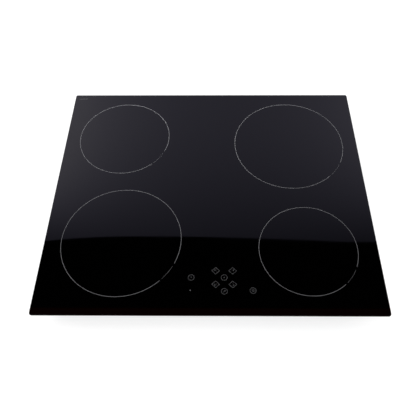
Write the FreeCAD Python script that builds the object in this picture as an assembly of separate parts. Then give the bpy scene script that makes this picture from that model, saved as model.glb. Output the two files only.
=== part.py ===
"""Built-in glass hob with four induction zones and touch keys, written in millimetres.

X runs to the user's right, Y runs away from the user and Z runs up. The origin is the centre
of the steel tray's underside, the face that the hob stands on when it is out of its worktop.
"""

import FreeCAD, Part
import math
import os

from FreeCAD import Vector

# ---------------------------------------------------------------- driving dimensions
GLASS_W, GLASS_D, GLASS_T = 590.0, 496.0, 4.0
GLASS_CORNER_R = 4.0
BEVEL_RUN, BEVEL_DROP = 12.0, 2.0      # facet ground along the front edge
GROUND_EDGE = 0.7                      # small chamfer ground along the other top edges
GLASS_TOP_Z = 56.0
GLASS_Z = GLASS_TOP_Z - GLASS_T        # underside of the glass

GASKET_T, GASKET_W, GASKET_INSET = 1.5, 6.0, 1.0

SHEET = 1.0                            # zinc-plated steel sheet
TRAY_W, TRAY_D, TRAY_H = 552.0, 458.0, 48.5
STEP_X, STEP_Y = 12.0, 56.0            # stepped corners, which give the clamps room
TRAY_X, TRAY_Y = TRAY_W / 2, TRAY_D / 2
STEPPED_X = TRAY_X - STEP_X

# zone name: centre x, centre y, printed ring diameter, coil diameter
ZONES = {
    "front_left": (-158.0, -110.0, 213.5, 196.0),
    "back_left": (-176.0, 127.5, 181.5, 162.0),
    "back_right": (157.5, 110.0, 217.0, 196.0),
    "front_right": (172.5, -128.0, 173.0, 156.0),
}

# printed markings, let into the glass so that they lie flush with it
INK_DEPTH = 0.04
RING_LINE, SCALE_LINE, KEY_LINE, SYMBOL_LINE = 0.8, 0.5, 0.38, 0.32
RING_GAP_ANGLE = -36.0                 # direction of the gap in each ring, from +X
RING_GAP, SCALE_LENGTH, SCALE_DASHES = 40.0, 30.0, 11

# touch keys, from the glass centre
KEY_COL, KEY_ROW = 14.5, 12.4          # pitch of the key cluster
CLUSTER_X, CLUSTER_Y = 24.5, -181.8    # its middle key
KEY_R = 5.1
DIAMOND_X, DIAMOND_Y = 6.6, 6.2
LEFT_KEY = (-31.6, CLUSTER_Y)
RIGHT_KEY = (72.5, -205.1)
LAMP_SPOT = (-32.5, -205.1)
CORNER_DASH, DASH_LINE = (-286.0, -269.0, 236.0), 1.1  # a plain dash in the back left corner
DIAMOND_KEYS = [
    (CLUSTER_X + sx * KEY_COL, CLUSTER_Y + dy)
    for dy in (KEY_ROW, -KEY_ROW) for sx in (-1, 1)
]
ROUND_KEYS = [(CLUSTER_X, CLUSTER_Y), (CLUSTER_X, CLUSTER_Y - 2 * KEY_ROW), LEFT_KEY, RIGHT_KEY]

# stack inside the tray
BOARD_Z, BOARD_T = 7.0, 1.6
BOARD_TOP = BOARD_Z + BOARD_T
PLATE_Z, PLATE_T = 36.0, 1.5           # aluminium plates that carry the coils
PLATE_TOP = PLATE_Z + PLATE_T
FERRITE_T = 5.0
FORMER_Z = PLATE_TOP + FERRITE_T + 0.5
FORMER_T = 3.0
WINDING_Z = FORMER_Z + FORMER_T
WINDING_TOP = 50.8
MICA_Z, MICA_T = 51.0, 0.8
COIL_INNER_R, TURN_PITCH = 24.0, 4.0
SENSOR_HOLE_R = 9.0

MODULE_SHIFT = 334.0                   # from the left power module to the right one
FAN_X, FAN_Y = -165.0, 140.0           # left fan's shaft
FAN_BASE_Z, FAN_TOP_Z = SHEET, 30.0
ROTOR_R, ROTOR_INNER_R, BLADES = 36.0, 29.0, 32
CHAMBER_R = 46.0
SINK_X0, SINK_X1 = -212.0, -162.0      # left heat sink
SINK_Y0, SINK_Y1 = -185.0, 35.0
SINK_TOP = 33.0

# worktop clamps, one in each stepped corner
CLAMP_X, CLAMP_Y = 270.5, 192.0
CLAMP_SCREW_R, CLAMP_BORE_R = 2.5, 2.56
CLAW_LENGTH, CLAW_W, CLAW_Z, CLAW_T = 36.0, 8.0, 6.2, 3.0

# supply terminals, reached through a flap in the tray's floor
BOX_X0, BOX_X1, BOX_Y0, BOX_Y1 = 2.0, 88.0, 174.0, 227.5
FLAP_X0, FLAP_X1, FLAP_Y1 = 6.0, 84.0, 222.4
FLAP_HINGE_Y, FLAP_HINGE_Z = 182.0, 2.3
GROMMET_X, GROMMET_Z, GROMMET_BORE_R = 70.0, 14.0, 7.0

UP = Vector(0, 0, 1)


# ---------------------------------------------------------------- small helpers
def box(x0, x1, y0, y1, z0, z1):
    return Part.makeBox(x1 - x0, y1 - y0, z1 - z0, Vector(x0, y0, z0))


def disc(x, y, z0, z1, r):
    return Part.makeCylinder(r, z1 - z0, Vector(x, y, z0), UP)


def tube(x, y, z0, z1, outer, inner):
    return disc(x, y, z0, z1, outer).cut(disc(x, y, z0 - 1, z1 + 1, inner))


def rod_along(start, direction, length, r):
    return Part.makeCylinder(r, length, Vector(*start), Vector(*direction))


def prism(points, z0, z1):
    """A closed outline of (x, y) points, extruded from z0 to z1."""
    corners = [Vector(x, y, z0) for x, y in points]
    return Part.Face(Part.makePolygon(corners + corners[:1])).extrude(Vector(0, 0, z1 - z0))


def moved(shape, dx=0.0, dy=0.0, dz=0.0):
    copy = shape.copy()
    copy.translate(Vector(dx, dy, dz))
    return copy


def upright_edges(shape):
    """The straight edges of a shape that run along Z."""
    return [
        e for e in shape.Edges
        if len(e.Vertexes) == 2
        and abs(e.Vertexes[0].X - e.Vertexes[1].X) < 1e-6
        and abs(e.Vertexes[0].Y - e.Vertexes[1].Y) < 1e-6
    ]


def rounded_box(x0, x1, y0, y1, z0, z1, r):
    block = box(x0, x1, y0, y1, z0, z1)
    return block.makeFillet(r, upright_edges(block))


def slot_hole(x, y, length, width, z0, z1):
    """A round-ended slot that runs along Y."""
    half = length / 2 - width / 2
    ends = [disc(x, y + s * half, z0, z1, width / 2) for s in (-1, 1)]
    return box(x - width / 2, x + width / 2, y - half, y + half, z0, z1).fuse(ends)


def arc_band(x, y, r, width, a0, a1, z0, z1):
    """A flat curved band on a circle, from angle a0 to a1 in degrees."""
    def at(radius, degrees):
        t = math.radians(degrees)
        return Vector(x + radius * math.cos(t), y + radius * math.sin(t), z0)

    outer, inner, middle = r + width / 2, r - width / 2, (a0 + a1) / 2
    edges = [
        Part.Arc(at(outer, a0), at(outer, middle), at(outer, a1)).toShape(),
        Part.LineSegment(at(outer, a1), at(inner, a1)).toShape(),
        Part.Arc(at(inner, a1), at(inner, middle), at(inner, a0)).toShape(),
        Part.LineSegment(at(inner, a0), at(outer, a0)).toShape(),
    ]
    return Part.Face(Part.Wire(edges)).extrude(Vector(0, 0, z1 - z0))


def ring_band(x, y, r, width, z0, z1):
    return tube(x, y, z0, z1, r + width / 2, r - width / 2)


def bar(x0, y0, x1, y1, width, z0, z1):
    """A straight printed stroke between two points."""
    dx, dy = x1 - x0, y1 - y0
    length = math.hypot(dx, dy)
    nx, ny = -dy / length * width / 2, dx / length * width / 2
    outline = [(x0 + nx, y0 + ny), (x0 - nx, y0 - ny), (x1 - nx, y1 - ny), (x1 + nx, y1 + ny)]
    return prism(outline, z0, z1)


def wire_tube(points, r, bend):
    """A round wire along straight runs joined by tangent arcs."""
    p = [Vector(*q) for q in points]
    edges, last = [], p[0]
    for before, corner, after in zip(p, p[1:], p[2:]):
        a, b = (before - corner).normalize(), (after - corner).normalize()
        half = a.getAngle(b) / 2
        reach = bend / math.tan(half)
        start, end = corner + a * reach, corner + b * reach
        towards = (a + b).normalize()
        middle = corner + towards * (bend / math.sin(half) - bend)
        edges.append(Part.LineSegment(last, start).toShape())
        edges.append(Part.Arc(start, middle, end).toShape())
        last = end
    edges.append(Part.LineSegment(last, p[-1]).toShape())
    path = Part.Wire(edges)
    section = Part.Wire(Part.Circle(p[0], p[1] - p[0], r).toShape())
    return path.makePipeShell([section], True, True)


def coil_spring(x, y, z0, z1, r, wire_r, turns):
    """A compression spring of round wire, standing between z0 and z1."""
    height = z1 - z0 - 2 * wire_r
    helix = Part.makeHelix(height / turns, height, r)
    section = Part.Wire(Part.Circle(Vector(r, 0, 0), Vector(0, 1, 0), wire_r).toShape())
    spring = Part.Wire(helix.Edges).makePipeShell([section], True, True)
    return moved(spring, x, y, z0 + wire_r)


def group(shapes):
    return Part.makeCompound([s for shape in shapes for s in shape.Solids])


def each_side(make):
    """A shape made for the left power module, and its copy for the right one."""
    left = make()
    return {"left": left, "right": moved(left, MODULE_SHIFT)}


# ---------------------------------------------------------------- glass and its printing
def zone_ring(x, y, diameter, z0, z1):
    """One zone's line with its gap, and the fine broken scale that stands in the gap."""
    r = diameter / 2
    gap, scale = math.degrees(RING_GAP / r) / 2, math.degrees(SCALE_LENGTH / r) / 2
    start, end = RING_GAP_ANGLE + gap, RING_GAP_ANGLE + 360 - gap
    parts = [arc_band(x, y, r, RING_LINE, start, end, z0, z1)]
    pitch = 2 * scale / SCALE_DASHES
    for i in range(SCALE_DASHES):
        a = RING_GAP_ANGLE - scale + i * pitch
        parts.append(arc_band(x, y, r, SCALE_LINE, a, a + pitch * 0.55, z0, z1))
    return parts


def diamond_key(x, y, z0, z1):
    def outline(grow):
        return [(x + DIAMOND_X + grow, y), (x, y + DIAMOND_Y + grow),
                (x - DIAMOND_X - grow, y), (x, y - DIAMOND_Y - grow)]

    return prism(outline(KEY_LINE * 0.7), z0, z1).cut(prism(outline(-KEY_LINE * 0.7), z0 - 1, z1 + 1))


def zone_dots(x, y, chosen, z0, z1):
    """Four dots in a square, with the dot of the key's own zone larger."""
    dots = []
    for i, (sx, sy) in enumerate(((-1, 1), (1, 1), (-1, -1), (1, -1))):
        dots.append(disc(x + sx * 1.2, y + sy * 1.2, z0, z1, 0.75 if i == chosen else 0.25))
    return dots


def key_symbols(z0, z1):
    """The plus, child-lock, timer and power symbols inside the round keys."""
    (px, py), (kx, ky), (tx, ty), (ox, oy) = ROUND_KEYS
    w = SYMBOL_LINE
    plus = bar(px - 1.5, py, px + 1.5, py, w, z0, z1).fuse(bar(px, py - 1.5, px, py + 1.5, w, z0, z1))
    bow = ring_band(kx + 1.1, ky + 1.1, 0.9, w, z0, z1)
    lock = bar(kx - 1.9, ky - 1.9, kx + 0.6, ky + 0.6, w, z0, z1).fuse(bow)
    timer = bar(tx, ty - 0.4, tx, ty + 2.2, w, z0, z1).fuse(bar(tx - 0.2, ty, tx + 1.5, ty, w, z0, z1))
    power = [arc_band(ox, oy, 1.8, w, 125, 415, z0, z1), bar(ox, oy + 0.2, ox, oy + 2.6, w, z0, z1)]
    return [plus, lock, timer] + power


def ring_markings():
    """The four zone rings, and the dash, which runs from one x to another at one y."""
    z0, z1 = GLASS_TOP_Z - INK_DEPTH, GLASS_TOP_Z
    x0, x1, y_dash = CORNER_DASH
    parts = [bar(x0, y_dash, x1, y_dash, DASH_LINE, z0, z1)]
    for x, y, ring_d, _ in ZONES.values():
        parts += zone_ring(x, y, ring_d, z0, z1)
    return group(parts)


def key_markings():
    """The outlines of the eight keys, their symbols, and the spot over the lamp."""
    z0, z1 = GLASS_TOP_Z - INK_DEPTH, GLASS_TOP_Z
    parts = []
    for chosen, (x, y) in enumerate(DIAMOND_KEYS):
        parts.append(diamond_key(x, y, z0, z1))
        parts += zone_dots(x, y, chosen, z0, z1)
    for x, y in ROUND_KEYS:
        parts.append(ring_band(x, y, KEY_R, KEY_LINE, z0, z1))
    parts += key_symbols(z0, z1)
    parts.append(disc(*LAMP_SPOT, z0, z1, 0.9))
    return group(parts)


def glass_plate(rings, keys):
    w, d = GLASS_W / 2, GLASS_D / 2
    plate = rounded_box(-w, w, -d, d, GLASS_Z, GLASS_TOP_Z, GLASS_CORNER_R)
    top_edges = [e for e in plate.Edges if e.BoundBox.ZMin > GLASS_TOP_Z - 0.01]
    plate = plate.makeChamfer(GROUND_EDGE, top_edges)
    facet = Part.Face(Part.makePolygon([
        Vector(-w - 5, -d + BEVEL_RUN, GLASS_TOP_Z), Vector(-w - 5, -d + BEVEL_RUN, GLASS_TOP_Z + 5),
        Vector(-w - 5, -d - BEVEL_RUN, GLASS_TOP_Z + 5),
        Vector(-w - 5, -d - BEVEL_RUN, GLASS_TOP_Z - 2 * BEVEL_DROP),
        Vector(-w - 5, -d + BEVEL_RUN, GLASS_TOP_Z),
    ])).extrude(Vector(GLASS_W + 10, 0, 0))
    return plate.cut(facet).cut(rings.Solids + keys.Solids)


def worktop_gasket():
    """Foam strip stuck round the underside of the glass, which lies on the worktop."""
    def frame(inset, r):
        x, y = GLASS_W / 2 - inset, GLASS_D / 2 - inset
        return rounded_box(-x, x, -y, y, GLASS_Z - GASKET_T, GLASS_Z, r)

    return frame(GASKET_INSET, 3.0).cut(frame(GASKET_INSET + GASKET_W, 1.0))


# ---------------------------------------------------------------- rails and silicone
RAIL_T, RAIL_LEG, RAIL_DROP = 1.5, 12.0, 17.0
BOND_T, BOND_W = 1.0, 8.0
SIDE_RAIL_L, END_RAIL_L = 340.0, 500.0
RAIL_TOP = GLASS_Z - BOND_T
WALL_GAP = 0.2
SCREW_Z = 41.0
SIDE_SCREWS, END_SCREWS = (-140.0, 0.0, 140.0), (-220.0, -73.0, 73.0, 220.0)
THREAD_R, SCREW_HOLE_R = 1.7, 2.2


def rail(length, screws):
    """A steel angle under the glass, made along Y with its upright leg's outer face on x = 0."""
    y = length / 2
    angle = box(-RAIL_LEG, 0, -y, y, RAIL_TOP - RAIL_T, RAIL_TOP)
    angle = angle.fuse(box(-RAIL_T, 0, -y, y, RAIL_TOP - RAIL_DROP, RAIL_TOP)).removeSplitter()
    holes = [rod_along((-RAIL_T - 1, s, SCREW_Z), (1, 0, 0), RAIL_T + 2, THREAD_R) for s in screws]
    return angle.cut(holes)


def pan_screw(length):
    """A pan-head screw along X with its head's underside on x = 0."""
    shank = rod_along((-length, 0, 0), (1, 0, 0), length, THREAD_R)
    head = rod_along((0, 0, 0), (1, 0, 0), 2.2, 3.6)
    rim = [e for e in head.Edges if e.BoundBox.XMin > 2.1]
    head = head.makeFillet(1.2, rim)
    cross = box(1.0, 3.0, -2.0, 2.0, -0.4, 0.4).fuse(box(1.0, 3.0, -0.4, 0.4, -2.0, 2.0))
    return head.fuse(shank).cut(cross)


def turned(shape, degrees):
    copy = shape.copy()
    copy.rotate(Vector(0, 0, 0), UP, degrees)
    return copy


def rails_and_screws():
    """The four rails, the silicone on them, and the screws that hold the tray to them."""
    side_x, end_y = TRAY_X - SHEET - WALL_GAP, TRAY_Y - SHEET - WALL_GAP
    side = moved(rail(SIDE_RAIL_L, SIDE_SCREWS), side_x)
    end = moved(rail(END_RAIL_L, END_SCREWS), end_y)
    rails = {"right": side, "left": turned(side, 180), "back": turned(end, 90), "front": turned(end, -90)}
    bond_x = (RAIL_LEG + BOND_W) / 2
    side_bond = box(side_x - bond_x, side_x - bond_x + BOND_W, -160, 160, RAIL_TOP, GLASS_Z)
    end_bond = box(end_y - bond_x, end_y - bond_x + BOND_W, -240, 240, RAIL_TOP, GLASS_Z)
    bonds = [side_bond, turned(side_bond, 180), turned(end_bond, 90), turned(end_bond, -90)]
    screw, screws = pan_screw(5.0), []
    for y in SIDE_SCREWS:
        one = moved(screw, TRAY_X, y, SCREW_Z)
        screws += [one, turned(one, 180)]
    for x in END_SCREWS:
        one = moved(screw, TRAY_Y, x, SCREW_Z)
        screws += [turned(one, 90), turned(one, -90)]
    return rails, group(bonds), group(screws)


# ---------------------------------------------------------------- steel tray
PILLAR_R = 4.0
BOARD_HOLES = [(-250.0, -198.0), (-84.0, -198.0), (-250.0, 53.0), (-84.0, 53.0)]
FILTER_HOLES = [(-46.0, 59.0), (46.0, 59.0), (-46.0, 167.0), (46.0, 167.0)]
POST_SPOTS = [
    (side * x, y) for side in (-1, 1)
    for x, y in ((78.0, -214.0), (250.0, -214.0), (104.0, 208.0), (250.0, 208.0))
]


def board_pillars():
    left = [(x, y) for x, y in BOARD_HOLES]
    return left + [(x + MODULE_SHIFT, y) for x, y in left] + FILTER_HOLES


def tray_outline(inset):
    x, sx, y, sy = TRAY_X - inset, STEPPED_X - inset, TRAY_Y - inset, TRAY_Y - STEP_Y - inset
    return [(-sx, -y), (sx, -y), (sx, -sy), (x, -sy), (x, sy), (sx, sy), (sx, y),
            (-sx, y), (-sx, sy), (-x, sy), (-x, -sy), (-sx, -sy)]


def intake_slots(cx, cy):
    """Air slots in the floor under one fan: two rows of parallel slots inside a circle."""
    cuts = []
    for i in range(-4, 5):
        dx = i * 9.0
        reach = math.sqrt(43.0 ** 2 - dx ** 2)
        length = reach - 4.0
        for side in (-1, 1):
            cuts.append(slot_hole(cx + dx, cy + side * (4.0 + length / 2), length, 5.0, -1, SHEET + 1))
    return cuts


def outlet_slots():
    """Air slots in the front wall and in the floor just behind it."""
    cuts = []
    for side in (-1, 1):
        for i in range(16):
            x = side * (95.0 + i * 9.0)
            cuts.append(box(x - 2, x + 2, -TRAY_Y - 1, -TRAY_Y + SHEET + 1, 8, 28))
        for i in range(14):
            cuts.append(slot_hole(side * (100.0 + i * 9.0), -218.0, 14.0, 4.0, -1, SHEET + 1))
    return cuts


def floor_rib(x, y, length, along_x):
    """A pressed rib: a shallow groove below and the ridge that it makes above."""
    lx, ly = (length / 2, 4.0) if along_x else (4.0, length / 2)
    groove = rounded_box(x - lx, x + lx, y - ly, y + ly, -1, 0.6, 3.9)
    ridge = rounded_box(x - lx - 0.8, x + lx + 0.8, y - ly - 0.8, y + ly + 0.8, SHEET / 2, SHEET + 0.6, 4.7)
    return groove, ridge


def base_tray():
    tray = prism(tray_outline(0), 0, TRAY_H)
    tray = tray.makeFillet(2.0, upright_edges(tray))
    inside = prism(tray_outline(SHEET), SHEET, TRAY_H + 1)
    tray = tray.cut(inside.makeFillet(1.0, upright_edges(inside)))
    grooves, ridges = [], []
    for args in ((0.0, -120.0, 90.0, True), (0.0, -40.0, 90.0, True), (0.0, 20.0, 90.0, True),
                 (-264.0, 0.0, 300.0, False), (264.0, 0.0, 300.0, False), (-66.0, -60.0, 180.0, False),
                 (66.0, -60.0, 180.0, False)):
        groove, ridge = floor_rib(*args)
        grooves.append(groove)
        ridges.append(ridge)
    pillars = [disc(x, y, SHEET / 2, BOARD_Z, PILLAR_R) for x, y in board_pillars()]
    tray = tray.fuse(ridges + pillars)
    cuts = intake_slots(FAN_X, FAN_Y) + intake_slots(FAN_X + MODULE_SHIFT, FAN_Y) + outlet_slots()
    cuts += grooves
    cuts += [disc(x, y, 2.0, BOARD_Z + 1, 1.25) for x, y in board_pillars()]
    cuts.append(box(BOX_X0 + 2.5, BOX_X1 - 2.5, BOX_Y0 + 2.5, FLAP_Y1 + 0.6, -1, SHEET + 1))
    cuts.append(rod_along((GROMMET_X, TRAY_Y - 3, GROMMET_Z), (0, 1, 0), 6, 9.0))
    for y in SIDE_SCREWS:
        cuts.append(rod_along((-TRAY_X - 1, y, SCREW_Z), (1, 0, 0), TRAY_W + 2, SCREW_HOLE_R))
    for x in END_SCREWS:
        cuts.append(rod_along((x, -TRAY_Y - 1, SCREW_Z), (0, 1, 0), TRAY_D + 2, SCREW_HOLE_R))
    return tray.cut(cuts)


# ---------------------------------------------------------------- worktop clamps
def mirrored(shape, sx, sy):
    """A shape made for the back right corner, put into the corner given by two signs."""
    copy = shape
    if sx < 0:
        copy = copy.mirror(Vector(0, 0, 0), Vector(1, 0, 0))
    if sy < 0:
        copy = copy.mirror(Vector(0, 0, 0), Vector(0, 1, 0))
    return copy


def clamp_bracket():
    """A C-shaped bracket on the tray's wall with a hole in each ear for the clamp screw."""
    x0, x1 = STEPPED_X, TRAY_X - 0.4
    back = box(x0, x0 + 1.5, 182, 204, 3.0, 45.0)
    ears = [box(x0, x1, 184, 200, z, z + 1.5) for z in (4.2, 42.0)]
    bracket = back.fuse(ears).removeSplitter()
    rounds = [e for e in upright_edges(bracket) if e.BoundBox.XMin > x1 - 0.1]
    bracket = bracket.makeFillet(3.0, rounds)
    return bracket.cut(disc(CLAMP_X, CLAMP_Y, 0, 48, CLAMP_SCREW_R + 0.08))


def clamp_screw():
    """The clamp's long screw, driven from below, with the push-on washer that keeps it in."""
    head = disc(CLAMP_X, CLAMP_Y, 0.9, 4.1, 4.4)
    head = head.makeFillet(1.0, [e for e in head.Edges if e.BoundBox.ZMax < 0.95])
    cross = box(CLAMP_X - 2.4, CLAMP_X + 2.4, CLAMP_Y - 0.5, CLAMP_Y + 0.5, 0, 2.6)
    cross = cross.fuse(box(CLAMP_X - 0.5, CLAMP_X + 0.5, CLAMP_Y - 2.4, CLAMP_Y + 2.4, 0, 2.6))
    shank = disc(CLAMP_X, CLAMP_Y, 4.0, 46.0, CLAMP_SCREW_R)
    washer = disc(CLAMP_X, CLAMP_Y, 43.6, 44.6, 4.6)
    return head.fuse([shank, washer]).cut(cross)


def clamp_claw():
    """The arm that swings out under the worktop and climbs the screw, folded back along the tray."""
    x0, x1 = CLAMP_X - CLAW_W / 2, CLAMP_X + CLAW_W / 2
    y1 = CLAMP_Y + CLAW_LENGTH
    arm = box(x0, x1, CLAMP_Y, y1, CLAW_Z, CLAW_Z + CLAW_T)
    lip = box(x0, x1, y1 - 6, y1, CLAW_Z, CLAW_Z + CLAW_T + 1.3)
    collar = disc(CLAMP_X, CLAMP_Y, CLAW_Z, CLAW_Z + 8, CLAW_W / 2)
    rib = box(CLAMP_X - 1, CLAMP_X + 1, CLAMP_Y + 3.5, CLAMP_Y + 14, CLAW_Z + CLAW_T, CLAW_Z + 6)
    grooves = [
        box(x0 - 1, x1 + 1, y1 - 5 + i * 1.6, y1 - 4.2 + i * 1.6, CLAW_Z + CLAW_T + 0.7, CLAW_Z + 8)
        for i in range(3)
    ]
    claw = arm.fuse([lip, collar, rib]).cut(grooves)
    return claw.cut(disc(CLAMP_X, CLAMP_Y, 0, 30, CLAMP_BORE_R))


# ---------------------------------------------------------------- coils
def facing_sign(x):
    """1 where the middle of the hob lies towards +X, and -1 where it lies towards -X."""
    return 1 if x < 0 else -1


def coil_plate(side):
    """An aluminium plate that carries two coils, with a turned-up outer edge and a hole under each coil."""
    inner, outer, y = 62.0, 260.0, 220.0
    plate = rounded_box(inner, outer, -y, y, PLATE_Z, PLATE_TOP, 5.0)
    lip = box(outer - PLATE_T, outer, -170, 170, PLATE_Z, PLATE_TOP + 3)
    plate = plate.fuse(lip).removeSplitter()
    if side < 0:
        plate = plate.mirror(Vector(0, 0, 0), Vector(1, 0, 0))
    cuts = []
    for x, y, _, _ in ZONES.values():
        if x * side > 0:
            cuts.append(disc(x, y, PLATE_Z - 1, PLATE_TOP + 1, 13.0))
    cuts += [disc(px, py, PLATE_Z - 1, PLATE_TOP + 1, 3.4) for px, py in POST_SPOTS if px * side > 0]
    return plate.cut(cuts)


def coil_former(x, y, diameter):
    """Plastic wheel that holds one winding: a disc, a hub, an outer rim and ribs beside each ferrite."""
    r = diameter / 2
    wheel = disc(x, y, FORMER_Z, WINDING_Z, r)
    hub = disc(x, y, PLATE_TOP, WINDING_TOP, COIL_INNER_R - 1.0)
    rim = tube(x, y, FORMER_Z, WINDING_Z + 2.5, r, r - 1.6)
    ribs = []
    for i in range(8):
        for offset in (-7.2, 7.2):
            rib = box(COIL_INNER_R, r - 8, offset - 0.6, offset + 0.6, PLATE_TOP + 1.5, FORMER_Z + 1)
            rib.rotate(Vector(0, 0, 0), UP, 22.5 + 45 * i)
            ribs.append(moved(rib, x, y))
    windows = []
    for i in range(8):
        middle_r, a = (COIL_INNER_R + r) / 2, 45 * i
        windows.append(arc_band(x, y, middle_r, 14.0, a - 9, a + 9, 0, WINDING_Z + 1))
    former = wheel.fuse([hub, rim] + ribs).cut(windows)
    return former.cut(disc(x, y, 0, 60, SENSOR_HOLE_R))


def coil_winding(x, y, diameter):
    """The flat litz winding, with the round top of each turn."""
    outer = diameter / 2 - 2.0
    turns = int((outer - COIL_INNER_R) / TURN_PITCH)
    crown, z = 1.3, WINDING_TOP
    first, last = COIL_INNER_R, COIL_INNER_R + turns * TURN_PITCH
    corners = [Vector(first, 0, z - crown), Vector(first, 0, WINDING_Z),
               Vector(last, 0, WINDING_Z), Vector(last, 0, z - crown)]
    edge = [Part.LineSegment(a, b).toShape() for a, b in zip(corners, corners[1:])]
    for i in range(turns):
        a, b = last - i * TURN_PITCH, last - (i + 1) * TURN_PITCH
        top = Vector((a + b) / 2, 0, z)
        edge.append(Part.Arc(Vector(a, 0, z - crown), top, Vector(b, 0, z - crown)).toShape())
    face = Part.Face(Part.Wire(edge))
    return moved(face.revolve(Vector(0, 0, 0), UP, 360), x, y)


def ferrite_bars():
    bars = []
    for x, y, _, diameter in ZONES.values():
        for i in range(8):
            one = box(COIL_INNER_R + 2, diameter / 2 - 10, -6, 6, PLATE_TOP, PLATE_TOP + FERRITE_T)
            one.rotate(Vector(0, 0, 0), UP, 22.5 + 45 * i)
            bars.append(moved(one, x, y))
    return group(bars)


def mica_discs():
    discs = []
    for x, y, _, diameter in ZONES.values():
        discs.append(tube(x, y, MICA_Z, MICA_Z + MICA_T, diameter / 2 + 1.5, SENSOR_HOLE_R - 1))
    return group(discs)


def zone_sensors():
    """Temperature feelers that stand in the coil hubs and touch the glass."""
    parts = []
    for x, y, _, _ in ZONES.values():
        stem = disc(x, y, PLATE_TOP, 47.0, 5.0)
        cap = disc(x, y, 47.0, GLASS_Z, 6.5)
        parts.append(stem.fuse([cap, disc(x, y, PLATE_TOP, PLATE_TOP + 2, 7.5)]))
    return group(parts)


def spring_posts():
    """Plastic posts on the tray's floor that the plate springs stand on."""
    posts = []
    for x, y in POST_SPOTS:
        posts.append(disc(x, y, SHEET, 14.0, 7.0).fuse(disc(x, y, 14.0, 34.0, 3.0)))
    return group(posts)


def plate_springs():
    return group([coil_spring(x, y, 14.0, PLATE_Z, 4.6, 0.6, 7) for x, y in POST_SPOTS])


# ---------------------------------------------------------------- power modules
def power_board():
    board = rounded_box(-256, -78, -205, 60, BOARD_Z, BOARD_TOP, 3.0)
    return board.cut([disc(x, y, 0, 12, 1.7) for x, y in BOARD_HOLES])


def heat_sink():
    """A finned aluminium extrusion that lies along the air stream."""
    fins, wall, base = 8, 3.0, 4.0
    sink = box(SINK_X0, SINK_X1, SINK_Y0, SINK_Y1, BOARD_TOP, BOARD_TOP + base)
    uprights = [box(SINK_X0, SINK_X0 + wall, SINK_Y0, SINK_Y1, BOARD_TOP, SINK_TOP),
                box(SINK_X1 - wall, SINK_X1, SINK_Y0, SINK_Y1, BOARD_TOP, SINK_TOP)]
    pitch = (SINK_X1 - SINK_X0 - wall) / (fins + 1)
    for i in range(1, fins + 1):
        x = SINK_X0 + wall / 2 + i * pitch
        uprights.append(box(x - 0.7, x + 0.7, SINK_Y0, SINK_Y1, BOARD_TOP, SINK_TOP))
    return sink.fuse(uprights).removeSplitter()


def power_transistors():
    """Four power transistors and a bridge rectifier, upright against the heat sink's walls."""
    parts = []
    for y in (-150.0, -105.0, -60.0, -15.0):
        body = box(SINK_X1 + 0.05, SINK_X1 + 5, y - 8, y + 8, 12, 31)
        parts.append(body.cut(rod_along((SINK_X1 - 1, y, 27), (1, 0, 0), 8, 1.8)))
        for pin in (-5.4, 0.0, 5.4):
            parts.append(box(SINK_X1 + 2, SINK_X1 + 3, y + pin - 0.6, y + pin + 0.6, BOARD_TOP, 12))
    parts.append(box(SINK_X0 - 5, SINK_X0 - 0.05, -95, -65, 11, 31))
    return group(parts)


def film_capacitors():
    parts = []
    for x0, x1, y0, y1, h in ((-150, -122, -188, -150, 22), (-150, -122, -144, -106, 22),
                              (-150, -134, -98, -66, 18), (-150, -134, -58, -26, 18),
                              (-118, -98, -188, -160, 20), (-150, -134, -18, 14, 18),
                              (-252, -232, -60, -24, 22)):
        parts.append(rounded_box(x0, x1, y0, y1, BOARD_TOP, BOARD_TOP + h, 1.5))
    return parts


def chokes():
    parts = []
    for x, y in ((-236, -165), (-236, -125)):
        ring = Part.makeTorus(11, 5.5, Vector(x, y, BOARD_TOP + 5.5))
        parts.append(ring)
    return parts


def fan_housing():
    """Blower casing: a round chamber with an outlet towards the heat sink, and the motor's fixed core."""
    z0, z1, wall = FAN_BASE_Z + 1.5, FAN_TOP_Z, 2.0
    cx, cy = FAN_X - 2.0, FAN_Y + 1.0
    left, right, mouth = SINK_X0, SINK_X1, FAN_Y - 52.0

    def outline(grow, low, high, mouth_y):
        shape = disc(cx, cy, low, high, CHAMBER_R - 2 + grow)
        return shape.fuse(box(left - grow, right + grow, mouth_y, cy, low, high)).removeSplitter()

    casing = outline(wall, z0, z1, mouth).cut(outline(0.0, z0 - 1, z1 - wall, mouth - 1))
    ears = [disc(FAN_X + 47, FAN_Y - 34, z0, z0 + 3, 5), disc(FAN_X + 36, FAN_Y + 42, z0, z0 + 3, 5),
            disc(FAN_X - 42, FAN_Y + 38, z0, z0 + 3, 5)]
    cavity = outline(0.0, z0 - 1, z1 - wall, mouth - 1)
    ears = [e.cut(cavity) for e in ears]
    casing = casing.fuse(ears)
    core = disc(FAN_X, FAN_Y, 12, z1 - wall + 0.5, 10.5).cut(disc(FAN_X, FAN_Y, 11, z1 - 1, 1.56))
    return casing.fuse(core)


def fan_cover():
    """The blower's underside plate with its round inlet."""
    z0, z1 = FAN_BASE_Z, FAN_BASE_Z + 1.5
    cx, cy = FAN_X - 2.0, FAN_Y + 1.0
    plate = disc(cx, cy, z0, z1, CHAMBER_R)
    plate = plate.fuse(box(SINK_X0 - 2, SINK_X1 + 2, FAN_Y - 52, cy, z0, z1)).removeSplitter()
    return plate.cut(disc(FAN_X, FAN_Y, 0, 5, 30.0))


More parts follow.
